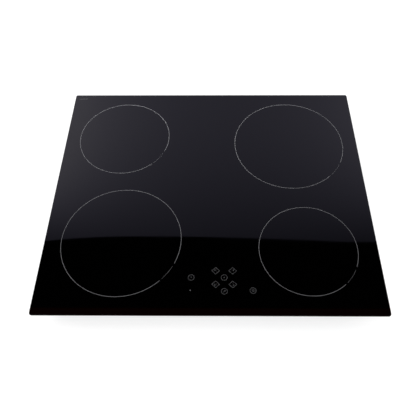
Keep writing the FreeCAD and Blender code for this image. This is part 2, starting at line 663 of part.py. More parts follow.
def blade():
    """One forward-curved blade."""
    z0, z1, lean = 4.2, 25.2, 1.7

    def at(r, degrees):
        t = math.radians(degrees)
        return Vector(r * math.cos(t), r * math.sin(t), z0)

    a, b, c = (ROTOR_INNER_R, 0.0), ((ROTOR_INNER_R + ROTOR_R) / 2, 3.0), (ROTOR_R - 0.2, 11.0)
    edges = [
        Part.Arc(at(*a), at(*b), at(*c)).toShape(),
        Part.LineSegment(at(*c), at(c[0], c[1] + lean)).toShape(),
        Part.Arc(at(c[0], c[1] + lean), at(b[0], b[1] + lean), at(a[0], a[1] + lean)).toShape(),
        Part.LineSegment(at(a[0], a[1] + lean), at(*a)).toShape(),
    ]
    return Part.Face(Part.Wire(edges)).extrude(Vector(0, 0, z1 - z0))


def fan_rotor():
    """The blower wheel: a hub cup on its shaft, a top disc, blades and a lower ring."""
    one = blade()
    blades = [turned(one, 360.0 * i / BLADES) for i in range(BLADES)]
    web = tube(0, 0, 24.8, 26.0, ROTOR_R, 12.6)
    cup = tube(0, 0, 8.0, 26.0, 14.0, 12.6)
    cap = disc(0, 0, 7.0, 8.8, 14.0)
    cap = cap.makeFillet(1.2, [e for e in cap.Edges if e.BoundBox.ZMax < 7.05])
    shaft = disc(0, 0, 8.5, 26.0, 1.5)
    ring = tube(0, 0, 3.4, 5.0, ROTOR_R, ROTOR_R - 2.0)
    wheel = web.fuse([cup, cap, shaft, ring] + blades)
    return moved(wheel, FAN_X, FAN_Y)


def air_duct():
    """Plastic hood that leads the air from the blower to the heat sink."""
    x0, x1, wall = SINK_X0, SINK_X1, 1.5
    y0, y1, top = SINK_Y1 + 0.5, FAN_Y - 52.3, 34.0
    roof = box(x0 - wall, x1 + wall, y0, y1, top - wall, top)
    sides = []
    for x in (x0 - wall, x1):
        sides.append(box(x, x + wall, y0, y1, BOARD_TOP + 0.2, top))
        sides.append(box(x, x + wall, 61.0, y1, SHEET + 0.1, top))
    sill = box(x0 - wall, x1 + wall, 61.0, y1, SHEET + 0.1, SHEET + 0.1 + wall)
    return roof.fuse(sides + [sill]).removeSplitter()


# ---------------------------------------------------------------- touch unit
TOUCH_X0, TOUCH_X1, TOUCH_Y0, TOUCH_Y1 = -50.0, 92.0, -215.5, -159.0
TOUCH_BOARD_Z = 44.0
DISPLAY_SPOTS = [(-5.0, -169.4), (54.0, -169.4), (-5.0, -194.2), (54.0, -194.2)]
TOUCH_LEGS = [(-42.0, -208.5), (50.0, -208.5), (-42.0, -166.0), (50.0, -166.0)]
TOUCH_RESTS = TOUCH_LEGS + [(84.0, -208.5), (84.0, -166.0)]
CABLE_X0, CABLE_X1 = 12.0, 36.0


def touch_board():
    z0, z1 = TOUCH_BOARD_Z, TOUCH_BOARD_Z + BOARD_T
    board = box(TOUCH_X0 + 2.4, TOUCH_X1 - 2.4, TOUCH_Y0 + 2.4, TOUCH_Y1 - 2.4, z0, z1)
    chip = rounded_box(58, 72, -188, -174, z0 - 1.6, z0, 1.0)
    socket = box(CABLE_X0 - 2, CABLE_X1 + 2, -186, -178, z0 - 3.0, z0)
    return group([board, chip, socket])


def touch_carrier():
    """Plastic tray for the touch board, on four legs that stand on the steel tray."""
    z0, wall = 39.0, 2.0
    carrier = rounded_box(TOUCH_X0, TOUCH_X1, TOUCH_Y0, TOUCH_Y1, z0, 50.5, 3.0)
    inner = box(TOUCH_X0 + wall, TOUCH_X1 - wall, TOUCH_Y0 + wall, TOUCH_Y1 - wall, z0 + wall, 52)
    window = box(CABLE_X0 - 3, CABLE_X1 + 3, -188, -176, z0 - 1, z0 + wall + 1)
    carrier = carrier.cut([inner, window])
    legs = [disc(x, y, SHEET, z0 + 1, 4.0) for x, y in TOUCH_LEGS]
    rests = [disc(x, y, z0 + 1, TOUCH_BOARD_Z, 3.0) for x, y in TOUCH_RESTS]
    return carrier.fuse(legs + rests)


def touch_pads():
    """Sleeves of conductive foam that stand on the touch board and press on the glass under each key."""
    z0, z1 = TOUCH_BOARD_Z + BOARD_T, GLASS_Z
    return group([tube(x, y, z0, z1, 4.0, 1.6) for x, y in DIAMOND_KEYS + ROUND_KEYS])


def led_displays():
    z0 = TOUCH_BOARD_Z + BOARD_T
    parts = [rounded_box(x - 4, x + 4, y - 6, y + 6, z0, 51.0, 0.8) for x, y in DISPLAY_SPOTS]
    parts.append(disc(*LAMP_SPOT, z0, 50.5, 1.5))
    return group(parts)


def strip(path, thickness, x0, x1):
    """A flat ribbon that follows (y, z) points, between x0 and x1."""
    upper, lower = [], []
    for i, (y, z) in enumerate(path):
        before, after = path[max(i - 1, 0)], path[min(i + 1, len(path) - 1)]
        d0 = Vector(y - before[0], z - before[1], 0)
        d1 = Vector(after[0] - y, after[1] - z, 0)
        d0 = d0.normalize() if d0.Length > 0 else d1.normalize()
        d1 = d1.normalize() if d1.Length > 0 else d0
        normal = Vector(-(d0.y + d1.y), d0.x + d1.x, 0).normalize()
        reach = thickness / 2 / max(0.3, normal.dot(Vector(-d1.y, d1.x, 0)))
        upper.append(Vector(x0, y + normal.x * reach, z + normal.y * reach))
        lower.append(Vector(x0, y - normal.x * reach, z - normal.y * reach))
    outline = upper + lower[::-1]
    return Part.Face(Part.makePolygon(outline + outline[:1])).extrude(Vector(x1 - x0, 0, 0))


def ribbon_cable():
    """The flat cable from the touch board's socket down and back to the filter board's socket."""
    path = [(-182, 41.0), (-182, 7.5), (-180, 4.5), (-176, 3.4), (41, 3.4), (45, 4.4), (47, 7.0),
            (47, 13.0), (49, 15.6), (53, 16.5), (58, 16.5), (61.5, 16.0), (63, 14.8), (63, 13.6)]
    return strip(path, 0.9, CABLE_X0, CABLE_X1)


# ---------------------------------------------------------------- supply side
def filter_board():
    board = rounded_box(-52, 52, 52, 173, BOARD_Z, BOARD_TOP, 3.0)
    board = board.cut([disc(x, y, 0, 12, 1.7) for x, y in FILTER_HOLES])
    socket = box(CABLE_X0 - 2, CABLE_X1 + 2, 59, 67, BOARD_TOP, 13.6)
    relay = rounded_box(-44, -22, 124, 156, BOARD_TOP, 26.0, 1.0)
    return group([board, socket, relay])


def terminal_box():
    """Plastic box over the opening in the tray's floor, with ears for the flap's pins."""
    wall, z1 = 2.0, 30.0
    shell = box(BOX_X0, BOX_X1, BOX_Y0, BOX_Y1, SHEET, z1)
    shell = shell.cut(box(BOX_X0 + wall, BOX_X1 - wall, BOX_Y0 + wall, BOX_Y1 - wall, 0, z1 - wall))
    ears = [box(x, x + 2.2, FLAP_HINGE_Y - 3, FLAP_HINGE_Y + 3, SHEET + 0.2, 7.0)
            for x in (BOX_X0 + wall - 0.1, BOX_X1 - wall - 2.1)]
    pin_start = (BOX_X0 + 1, FLAP_HINGE_Y, FLAP_HINGE_Z + 0.4)
    pin_bore = rod_along(pin_start, (1, 0, 0), BOX_X1 - BOX_X0 - 2, 1.06)
    entry = rod_along((GROMMET_X, BOX_Y1 - 4, GROMMET_Z), (0, 1, 0), 6, 9.0)
    wire_door = box(18, 52, BOX_Y0 - 1, BOX_Y0 + wall + 1, 19.5, 25.5)
    return shell.fuse(ears).cut([pin_bore, entry, wire_door])


def terminal_flap():
    """The hinged flap that closes the terminal box from below."""
    plate = rounded_box(FLAP_X0 + 0.6, FLAP_X1 - 0.6, FLAP_HINGE_Y, FLAP_Y1, 0.3, 2.3, 1.5)
    axis_z = FLAP_HINGE_Z + 0.4
    barrel = rod_along((FLAP_X0 + 0.6, FLAP_HINGE_Y, axis_z), (1, 0, 0), FLAP_X1 - FLAP_X0 - 1.2, 1.6)
    pins = rod_along((FLAP_X0 - 1.6, FLAP_HINGE_Y, axis_z), (1, 0, 0), FLAP_X1 - FLAP_X0 + 3.2, 1.0)
    root = box(FLAP_X0 + 0.6, FLAP_X1 - 0.6, FLAP_HINGE_Y - 0.4, FLAP_HINGE_Y + 1.5, 1.1, axis_z)
    catch = box(38, 52, FLAP_Y1 - 2.6, FLAP_Y1 - 1.4, 2.0, 8.0)
    ribs = [box(x, x + 1.5, 187, 217, 2.0, 4.0) for x in (20.0, 44.5, 69.0)]
    scoop = rounded_box(36, 54, FLAP_Y1 - 5, FLAP_Y1 + 1, 0, 0.9, 1.0)
    return plate.fuse([barrel, pins, root, catch] + ribs).cut(scoop)


def terminal_block():
    """Six-way screw terminal, with its screws facing the flap."""
    body = rounded_box(10, 62, 193, 215, 10.0, 27.9, 1.0)
    cuts = []
    for i in range(6):
        x = 14.5 + i * 8.6
        cuts += [disc(x, 199, 0, 15, 3.0), disc(x, 209, 0, 15, 3.0)]
    fences = [box(10.2 + i * 8.6, 11.0 + i * 8.6, 193, 215, 8.0, 10.5) for i in range(6)]
    fences.append(box(61.0, 62.0, 193, 215, 8.0, 10.5))
    return body.fuse(fences).cut(cuts)


def terminal_screws():
    parts = []
    for i in range(6):
        x = 14.5 + i * 8.6
        for y in (199, 209):
            head = disc(x, y, 12.0, 15.0, 2.8)
            parts.append(head.cut(box(x - 3, x + 3, y - 0.4, y + 0.4, 11, 13)))
    return group(parts)


def cable_grommet():
    """Rubber bush in the rear wall that the supply cable comes in through."""
    y0, y1 = BOX_Y1 - 4.0, TRAY_Y + 2.5
    body = rod_along((GROMMET_X, y0, GROMMET_Z), (0, 1, 0), y1 - y0, 8.9)
    flange = rod_along((GROMMET_X, TRAY_Y, GROMMET_Z), (0, 1, 0), y1 - TRAY_Y, 11.0)
    lip = rod_along((GROMMET_X, y0, GROMMET_Z), (0, 1, 0), 1.9, 10.0)
    bore = rod_along((GROMMET_X, y0 - 1, GROMMET_Z), (0, 1, 0), 20, GROMMET_BORE_R)
    return body.fuse([flange, lip]).cut(bore)


def board_screws():
    """Round-head screws that hold the three boards to the tray's pillars."""
    parts = []
    for x, y in board_pillars():
        head = disc(x, y, BOARD_TOP, BOARD_TOP + 1.8, 2.8)
        head = head.makeFillet(0.9, [e for e in head.Edges if e.BoundBox.ZMin > BOARD_TOP + 1.7])
        parts.append(head.fuse(disc(x, y, 2.4, BOARD_TOP + 0.5, 1.2)))
    return group(parts)


# ---------------------------------------------------------------- wiring
LEAD_R, LEAD_BEND = 1.4, 5.0
LEAD_Z = 40.4


def wiring():
    """The leads of the coils, from each hub to its board, and the supply wires of the three boards."""
    leads = []
    for x, y, _, _ in ZONES.values():
        s = facing_sign(x)
        for offset in (-3.0, 3.0):
            start = (x + s * 32, y + offset, LEAD_Z)
            low_z = 13.0 if offset > 0 else 18.0
            if y < 60:
                points = [start, (-s * 55, y + offset, LEAD_Z), (-s * 55, y + offset, low_z),
                          (-s * 77.5, y + offset, low_z)]
            else:
                end_y = 46 + offset
                points = [start, (-s * 55.5, y + offset, LEAD_Z), (-s * 55.5, y + offset, low_z),
                          (-s * 55.5, end_y, low_z), (-s * 77.5, end_y, low_z)]
            leads.append(wire_tube(points, LEAD_R, LEAD_BEND))
    for x in (22.0, 30.0, 38.0):
        leads.append(wire_tube([(x, 192.5, 22.5), (x, 165, 22.5), (x, 165, BOARD_TOP)], 1.3, 4.0))
    for s in (-1, 1):
        for dx, z in ((0, 11.5), (6, 15.5)):
            x, y = s * (38 + dx), 30.0 - dx
            leads.append(wire_tube([(x, 55, z), (x, y, z), (s * 77.5, y, z)], 1.3, 5.0))
    return group(leads)


# ---------------------------------------------------------------- the nodes
def build():
    ring_print, key_print = ring_markings(), key_markings()
    rails, bonds, screws = rails_and_screws()
    nodes = {
        "glass_top": glass_plate(ring_print, key_print),
        "ring_markings": ring_print,
        "key_markings": key_print,
        "worktop_gasket": worktop_gasket(),
        "silicone_bonds": bonds,
        "fixing_screws": group([screws, board_screws()]),
        "base_tray": base_tray(),
        "coil_plate_left": coil_plate(-1),
        "coil_plate_right": coil_plate(1),
        "plate_springs": plate_springs(),
        "spring_posts": spring_posts(),
        "ferrite_bars": ferrite_bars(),
        "mica_discs": mica_discs(),
        "zone_sensors": zone_sensors(),
        "touch_board": touch_board(),
        "touch_carrier": touch_carrier(),
        "touch_pads": touch_pads(),
        "led_displays": led_displays(),
        "ribbon_cable": ribbon_cable(),
        "filter_board": filter_board(),
        "terminal_box": terminal_box(),
        "terminal_flap": terminal_flap(),
        "terminal_block": terminal_block(),
        "terminal_screws": terminal_screws(),
        "cable_grommet": cable_grommet(),
        "wiring": wiring(),
    }
    for name, one in rails.items():
        nodes[f"glass_rail_{name}"] = one
    for zone, (x, y, _, diameter) in ZONES.items():
        nodes[f"coil_former_{zone}"] = coil_former(x, y, diameter)
        nodes[f"coil_winding_{zone}"] = coil_winding(x, y, diameter)
    bracket, screw, claw = clamp_bracket(), clamp_screw(), clamp_claw()
    brackets = []
    for corner, sx, sy in (("front_left", -1, -1), ("front_right", 1, -1),
                           ("back_left", -1, 1), ("back_right", 1, 1)):
        brackets.append(mirrored(bracket, sx, sy))
        nodes[f"clamp_screw_{corner}"] = mirrored(screw, sx, sy)
        nodes[f"clamp_claw_{corner}"] = mirrored(claw, sx, sy)
    nodes["clamp_brackets"] = group(brackets)
    for name, make in (("power_board", power_board), ("heat_sink", heat_sink),
                       ("fan_housing", fan_housing), ("fan_rotor", fan_rotor)):
        for side, shape in each_side(make).items():
            nodes[f"{name}_{side}"] = shape
    for name, make in (("fan_covers", fan_cover), ("air_ducts", air_duct),
                       ("power_transistors", power_transistors)):
        nodes[name] = group(each_side(make).values())
    capacitors = film_capacitors()
    copies = [moved(c, MODULE_SHIFT) for c in capacitors]
    line_filter = rounded_box(-44, -8, 100, 118, BOARD_TOP, 28.0, 1.5)
    nodes["film_capacitors"] = group(capacitors + copies + [line_filter])
    rings = chokes()
    big_ring = Part.makeTorus(15, 7, Vector(24, 122, BOARD_TOP + 7))
    nodes["filter_chokes"] = group(rings + [moved(c, MODULE_SHIFT) for c in rings] + [big_ring])
    return nodes


def main():
    os.makedirs("parts", exist_ok=True)
    for name, shape in build().items():
        wrong = [s for s in shape.Solids if not s.isValid() or s.Volume <= 0]
        print(name, len(shape.Solids), "solids", round(sum(s.Volume for s in shape.Solids)), "mm3",
              "INVALID" if wrong or not shape.Solids else "")
        shape.exportStep(f"parts/{name}.step")


main()
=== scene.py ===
import math

import bpy
from mathutils import Matrix, Vector


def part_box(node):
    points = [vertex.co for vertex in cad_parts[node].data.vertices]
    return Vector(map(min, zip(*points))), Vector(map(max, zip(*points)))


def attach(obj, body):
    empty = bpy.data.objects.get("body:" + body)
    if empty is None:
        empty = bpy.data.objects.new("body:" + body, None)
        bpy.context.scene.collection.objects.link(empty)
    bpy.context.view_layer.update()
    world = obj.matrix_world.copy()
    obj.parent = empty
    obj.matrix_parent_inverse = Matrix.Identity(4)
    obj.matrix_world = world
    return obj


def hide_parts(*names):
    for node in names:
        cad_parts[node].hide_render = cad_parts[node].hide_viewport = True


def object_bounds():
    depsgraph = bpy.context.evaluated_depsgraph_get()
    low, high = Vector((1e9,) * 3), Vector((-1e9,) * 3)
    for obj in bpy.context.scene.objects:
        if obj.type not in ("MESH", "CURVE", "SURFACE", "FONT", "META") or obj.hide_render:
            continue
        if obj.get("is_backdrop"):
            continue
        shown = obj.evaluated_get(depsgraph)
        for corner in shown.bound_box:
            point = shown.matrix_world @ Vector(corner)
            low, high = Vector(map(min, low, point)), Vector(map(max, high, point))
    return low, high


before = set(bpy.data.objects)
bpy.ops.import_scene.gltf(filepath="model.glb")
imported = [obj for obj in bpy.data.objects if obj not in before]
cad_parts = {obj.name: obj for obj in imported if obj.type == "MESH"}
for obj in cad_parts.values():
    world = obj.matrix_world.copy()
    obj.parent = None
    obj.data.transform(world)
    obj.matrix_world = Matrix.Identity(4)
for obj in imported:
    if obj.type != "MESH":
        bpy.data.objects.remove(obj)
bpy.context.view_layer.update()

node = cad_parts
bpy.ops.object.select_all(action="DESELECT")
MM = 0.001


# ---------------------------------------------------------------- steel tray
# The tray is pressed from zinc-coated sheet, so it shows the coating's crystals, and its cut
# edges are brighter. It has slots for the air, pillars for the boards and no paint.
def tree_of(owner):
    """The node tree of a material, or the tree itself where one is given."""
    return getattr(owner, "node_tree", None) or owner


def add(mat, kind, **values):
    """A node in a material or node group, with its inputs or properties set by name."""
    made = tree_of(mat).nodes.new("ShaderNode" + kind)
    for name, value in values.items():
        label = name.replace("_", " ").title()
        if label in made.inputs:
            made.inputs[label].default_value = value
        else:
            setattr(made, name, value)
    return made


def join(mat, source, target):
    tree_of(mat).links.new(source, target)


def feed(mat, value, target):
    """Joins a socket to an input, or sets the input where the value is a number or a colour."""
    if isinstance(value, bpy.types.NodeSocket):
        join(mat, value, target)
    else:
        target.default_value = value


def compute(mat, operation, *values):
    """The result of a Math node; each value is a socket or a number."""
    made = add(mat, "Math", operation=operation)
    for value, target in zip(values, made.inputs):
        feed(mat, value, target)
    return made.outputs[0]


def compute_vector(mat, operation, *values):
    """The outputs of a VectorMath node; each value is a socket or three numbers."""
    made = add(mat, "VectorMath", operation=operation)
    for value, target in zip(values, made.inputs):
        feed(mat, value, target)
    return made.outputs


def scaled(mat, vector, factor):
    """A colour or vector times a number."""
    made = add(mat, "VectorMath", operation="SCALE")
    feed(mat, vector, made.inputs[0])
    feed(mat, factor, made.inputs["Scale"])
    return made.outputs[0]


def remap(mat, value, low, high, first, last):
    """Turns a value's span from low to high into the span from first to last, clamped."""
    made = add(mat, "MapRange")
    for part, target in zip((value, low, high, first, last), made.inputs):
        feed(mat, part, target)
    return made.outputs[0]


def mix_colour(mat, mask, first, second):
    """Goes from the first colour to the second with a mask; each is a socket or a colour."""
    mix = add(mat, "Mix", data_type="RGBA")
    for value, target in ((mask, mix.inputs[0]), (first, mix.inputs[6]), (second, mix.inputs[7])):
        feed(mat, value, target)
    return mix.outputs[2]


def place_of(mat):
    """The place on the object, in metres."""
    return add(mat, "TexCoord").outputs["Object"]


def pattern(mat, kind, place, **values):
    """The outputs of a texture node laid out by a place."""
    made = add(mat, "Tex" + kind, **values)
    join(mat, place, made.inputs["Vector"])
    return made.outputs


def parts_of(mat, vector):
    """The X, Y and Z of a vector."""
    made = add(mat, "SeparateXYZ")
    join(mat, vector, made.inputs[0])
    return made.outputs


def finish(name, colour, roughness=0.5, metallic=0.0):
    """A new material with its Principled shader, the start of every finish here."""
    mat = bpy.data.materials.new(name)
    mat.use_nodes = True
    shader = mat.node_tree.nodes["Principled BSDF"]
    shader.inputs["Base Color"].default_value = (*colour, 1)
    shader.inputs["Roughness"].default_value = roughness
    shader.inputs["Metallic"].default_value = metallic
    return mat, shader


def new_group(name, inputs, outputs):
    """An empty shader node group, its input node and its output node."""
    tree = bpy.data.node_groups.new(name, "ShaderNodeTree")
    for label, kind, value in inputs:
        socket = tree.interface.new_socket(name=label, in_out="INPUT", socket_type="NodeSocket" + kind)
        socket.default_value = value
    for label, kind in outputs:
        tree.interface.new_socket(name=label, in_out="OUTPUT", socket_type="NodeSocket" + kind)
    return tree, tree.nodes.new("NodeGroupInput"), tree.nodes.new("NodeGroupOutput")


def mottled_group():
    """Soft blotches: a colour that varies, a roughness that varies with it, and a fine height."""
    tree, start, end = new_group(
        "mottled",
        [("Colour", "Color", (0.5, 0.5, 0.5, 1)),
         ("Colour Spread", "Float", 0.15),
         ("Roughness", "Float", 0.5),
         ("Roughness Spread", "Float", 0.1),
         ("Blotch Scale", "Float", 40.0),
         ("Grain Scale", "Float", 900.0)],
        [("Colour", "Color"), ("Roughness", "Float"), ("Height", "Float")])
    given, place = start.outputs, place_of(tree)
    blotch, grain = add(tree, "TexNoise", detail=3.0, roughness=0.55), add(tree, "TexNoise", roughness=0.6)
    for noise, scale in ((blotch, "Blotch Scale"), (grain, "Grain Scale")):
        join(tree, place, noise.inputs["Vector"])
        join(tree, given[scale], noise.inputs["Scale"])
    swing = compute(tree, "SUBTRACT", blotch.outputs["Fac"], 0.5)
    tone = compute(tree, "ADD", compute(tree, "MULTIPLY", swing, given["Colour Spread"]), 1.0)
    dulled = compute(tree, "MULTIPLY", swing, given["Roughness Spread"])
    join(tree, scaled(tree, given["Colour"], tone), end.inputs["Colour"])
    join(tree, compute(tree, "ADD", dulled, given["Roughness"]), end.inputs["Roughness"])
    join(tree, grain.outputs["Fac"], end.inputs["Height"])
    return tree


EDGE_FROM, EDGE_TO = 0.995, 0.93             # how far the rounded normal leans, as a cosine
PATCH_SCALE, PATCH_FROM, PATCH_TO, PATCH_LEAST = 160.0, 0.35, 0.6, 0.25


def worn_edge_group():
    """A mask that is 1 along outside edges, broken up so that the wear is uneven."""
    tree, start, end = new_group("worn_edges", [("Radius", "Float", 0.0006)], [("Mask", "Float")])
    rounded = add(tree, "Bevel", samples=4)
    join(tree, start.outputs["Radius"], rounded.inputs["Radius"])
    flat = add(tree, "NewGeometry").outputs["Normal"]
    agree = compute_vector(tree, "DOT_PRODUCT", rounded.outputs["Normal"], flat)["Value"]
    turn = remap(tree, agree, EDGE_FROM, EDGE_TO, 0.0, 1.0)
    patches = pattern(tree, "Noise", place_of(tree), scale=PATCH_SCALE, detail=4.0)["Fac"]
    broken = remap(tree, patches, PATCH_FROM, PATCH_TO, PATCH_LEAST, 1.0)
    join(tree, compute(tree, "MULTIPLY", turn, broken), end.inputs["Mask"])
    return tree


MOTTLED, WORN_EDGES = mottled_group(), worn_edge_group()


def place_group(mat, tree, **values):
    made = mat.node_tree.nodes.new("ShaderNodeGroup")
    made.node_tree = tree
    for name, value in values.items():
        made.inputs[name.replace("_", " ").title()].default_value = value
    return made.outputs


def bump(mat, shader, height, distance, strength=1.0):
    relief = add(mat, "Bump", strength=strength, distance=distance)
    join(mat, height, relief.inputs["Height"])
    join(mat, relief.outputs["Normal"], shader.inputs["Normal"])
    return relief


def mottled_finish(name, colour, roughness, spread, roughness_spread, blotches, grain, relief,
                   metallic=0.0, edge=None):
    """A finish with blotches and grain, and lighter worn edges where a colour is given for them."""
    mat, shader = finish(name, colour, roughness, metallic)
    surface = place_group(mat, MOTTLED, colour=(*colour, 1), colour_spread=spread, roughness=roughness,
                          roughness_spread=roughness_spread, blotch_scale=blotches, grain_scale=grain)
    out = surface["Colour"]
    if edge:
        out = mix_colour(mat, place_group(mat, WORN_EDGES)["Mask"], out, (*edge, 1))
    join(mat, out, shader.inputs["Base Color"])
    join(mat, surface["Roughness"], shader.inputs["Roughness"])
    bump(mat, shader, surface["Height"], relief * MM)
    return mat


def dress(mat, *names):
    """Gives a material to every slot of the named CAD nodes."""
    for name in names:
        for slot in node[name].material_slots:
            slot.material = mat


def nodes_called(start):
    return [name for name in sorted(node) if name.startswith(start)]


CRYSTAL_TONE, CRYSTAL_ROUGHNESS, CRYSTAL_WARP = (0.90, 1.05), (0.33, 0.47), 1.6
CUT_EDGE, CUT_RADIUS = (0.64, 0.65, 0.66, 1), 0.7 * MM
ROLLED_SCALE, ROLLED_RELIEF = 700.0, 0.02 * MM


def zinc_sheet(name, colour, crystal):
    """Zinc-coated sheet: crystals of slightly different grey and gloss, with brighter cut edges."""
    mat, shader = finish(name, colour, metallic=1.0)
    place = place_of(mat)
    warp = pattern(mat, "Noise", place, scale=CRYSTAL_WARP / crystal)["Color"]
    shifted = compute_vector(mat, "MULTIPLY_ADD", warp, (crystal / 2,) * 3, place)[0]
    crystals = pattern(mat, "Voronoi", shifted, scale=1.0 / crystal)["Color"]
    shade = add(mat, "SeparateColor")
    join(mat, crystals, shade.inputs[0])
    tint = scaled(mat, colour, remap(mat, shade.outputs[0], 0.0, 1.0, *CRYSTAL_TONE))
    wear = place_group(mat, WORN_EDGES, radius=CUT_RADIUS)["Mask"]
    join(mat, mix_colour(mat, wear, tint, CUT_EDGE), shader.inputs["Base Color"])
    rough = remap(mat, shade.outputs[1], 0.0, 1.0, *CRYSTAL_ROUGHNESS)
    join(mat, rough, shader.inputs["Roughness"])
    rolled = pattern(mat, "Noise", place, scale=ROLLED_SCALE, detail=3.0)["Fac"]
    relief = bump(mat, shader, rolled, ROLLED_RELIEF)
    join(mat, add(mat, "NewGeometry").outputs["True Normal"], relief.inputs["Normal"])
    return mat


ZINC = zinc_sheet("zinc_sheet", (0.46, 0.48, 0.50), 6 * MM)
dress(ZINC, "base_tray")


# ---------------------------------------------------------------- rating plate and labels
# A blank foil plate is stuck to the tray's underside in front of a fan intake, and blank paper
# labels to the tray and to the terminal flap. They have raised borders and no lettering.
PLATE_SPOT, PLATE_SIZE = Vector((-0.16, -0.02, 0.0)), (78 * MM, 46 * MM, 0.25 * MM)
LABEL_SPOT, LABEL_SIZE = Vector((0.175, -0.03, 0.0)), (58 * MM, 34 * MM, 0.12 * MM)
FLAP_LABEL_SIZE, FLAP_LABEL_SHIFT = (30 * MM, 16 * MM, 0.12 * MM), 4 * MM
SHEET_CORNER = 3 * MM
BORDER_W, BORDER_SLOPE, BORDER_SINK = 1.2 * MM, 0.3 * MM, 0.08 * MM
DOWN = -1


def edit(obj):
    bpy.ops.object.select_all(action="DESELECT")
    bpy.context.view_layer.objects.active = obj
    obj.select_set(True)
    bpy.ops.object.mode_set(mode="EDIT")


def leave_edit():
    bpy.ops.object.mode_set(mode="OBJECT")
    bpy.ops.object.transform_apply(location=True, rotation=True, scale=True)
    bpy.ops.object.select_all(action="DESELECT")


def outward(obj):
    """Merges doubles and turns every face outwards."""
    edit(obj)
    bpy.ops.mesh.select_all(action="SELECT")
    bpy.ops.mesh.remove_doubles(threshold=1e-6)
    bpy.ops.mesh.normals_make_consistent(inside=False)
    leave_edit()


def rounded_sheet(name, spot, width, depth, segments):
    """A flat rectangle with round corners, left open for editing with all of it selected."""
    bpy.ops.mesh.primitive_plane_add(size=1, location=spot)
    sheet = bpy.context.active_object
    sheet.name = name
    sheet.scale = (width, depth, 1)
    bpy.ops.object.transform_apply(location=True, rotation=True, scale=True)
    edit(sheet)
    bpy.ops.mesh.select_all(action="SELECT")
    bpy.ops.mesh.bevel(offset=SHEET_CORNER, segments=segments, affect="VERTICES")
    return sheet


def extrude(rise):
    bpy.ops.mesh.extrude_region_move(TRANSFORM_OT_translate={"value": (0, 0, rise)})


def stamped_plate(name, spot, size, facing):
    """A thin plate with rounded corners, a raised rim and a sunk field, facing up or down."""
    width, depth, thickness = size
    plate = rounded_sheet(name, spot, width, depth, 5)
    extrude(facing * thickness)
    for inset, sink in ((BORDER_W, 0.0), (BORDER_SLOPE, -BORDER_SINK)):
        bpy.ops.mesh.inset(thickness=inset)
        bpy.ops.transform.translate(value=(0, 0, facing * sink))
    leave_edit()
    outward(plate)
    return plate


FOIL = mottled_finish("brushed_foil", (0.70, 0.70, 0.71), 0.34, spread=0.08, roughness_spread=0.15,
                      blotches=25.0, grain=1500.0, relief=0.01, metallic=1.0)
rating_plate = stamped_plate("rating_plate", PLATE_SPOT, PLATE_SIZE, DOWN)
rating_plate.data.materials.append(FOIL)
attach(rating_plate, "hob")

COATED_PAPER = mottled_finish("coated_paper", (0.80, 0.80, 0.78), 0.42, spread=0.04, roughness_spread=0.1,
                              blotches=30.0, grain=2500.0, relief=0.01)
flap_low, flap_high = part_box("terminal_flap")
flap_middle = (flap_low + flap_high) / 2
flap_spot = (flap_middle.x, flap_middle.y + FLAP_LABEL_SHIFT, flap_low.z)
tray_label = stamped_plate("tray_label", LABEL_SPOT, LABEL_SIZE, DOWN)
flap_label = stamped_plate("flap_label", flap_spot, FLAP_LABEL_SIZE, DOWN)
for label, body in ((tray_label, "hob"), (flap_label, "flap")):
    label.data.materials.append(COATED_PAPER)
    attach(label, body)


# ---------------------------------------------------------------- worktop clamps
# Each stepped corner has a zinc-coated bracket, a long screw in bright zinc, and a pressed
# claw that swings out and climbs the screw. The claws' teeth bite the worktop from below.
BRIGHT_ZINC = mottled_finish("bright_zinc", (0.74, 0.75, 0.78), 0.26, spread=0.12, roughness_spread=0.2,
                             blotches=60.0, grain=1400.0, relief=0.01, metallic=1.0, edge=(0.9, 0.9, 0.9))
CLAW_STEEL = zinc_sheet("claw_steel", (0.66, 0.66, 0.62), 2.5 * MM)
dress(CLAW_STEEL, "clamp_brackets", *nodes_called("clamp_claw_"))
dress(BRIGHT_ZINC, "fixing_screws", *nodes_called("clamp_screw_"))


# ---------------------------------------------------------------- supply terminals
# The terminal box and its flap are moulded in grey plastic with a spark-eroded grain. The
# block is pale plastic with brass screws, and a rubber grommet lines the hole for the cable.
GREY_MOULDING = mottled_finish("grey_moulding", (0.20, 0.205, 0.215), 0.52, spread=0.10,
                               roughness_spread=0.12, blotches=30.0, grain=1100.0, relief=0.06,
                               edge=(0.30, 0.305, 0.31))
PALE_MOULDING = mottled_finish("pale_moulding", (0.72, 0.71, 0.67), 0.45, spread=0.06, roughness_spread=0.1,
                               blotches=50.0, grain=900.0, relief=0.03, edge=(0.80, 0.79, 0.76))
BRASS = mottled_finish("turned_brass", (0.78, 0.58, 0.26), 0.3, spread=0.2, roughness_spread=0.2,
                       blotches=300.0, grain=2000.0, relief=0.01, metallic=1.0)
RUBBER = mottled_finish("grommet_rubber", (0.022, 0.022, 0.023), 0.68, spread=0.25, roughness_spread=0.15,
                        blotches=120.0, grain=1500.0, relief=0.04)
dress(GREY_MOULDING, "terminal_box", "terminal_flap")
dress(PALE_MOULDING, "terminal_block", "spring_posts")
dress(BRASS, "terminal_screws")
dress(RUBBER, "cable_grommet")


# ---------------------------------------------------------------- circuit boards
# Glass-fibre boards with green solder mask over copper tracks. Sockets, chips and the relay
# stand on them in black plastic, so everything away from the board's own layer is black.
BOARD_T, LAYER_SLACK = 1.6 * MM, 0.05 * MM
TRACK_W, TRACK_RUN, TRACK_PITCH, TRACK_OFFSET = 0.7 * MM, 13 * MM, 4.2 * MM, 0.37
SOLDER_GREEN, TRACK_GAIN = (0.02, 0.13, 0.05), 1.7
CHIP_BLACK, TRACK_RELIEF = (0.03, 0.03, 0.032, 1), 0.04 * MM


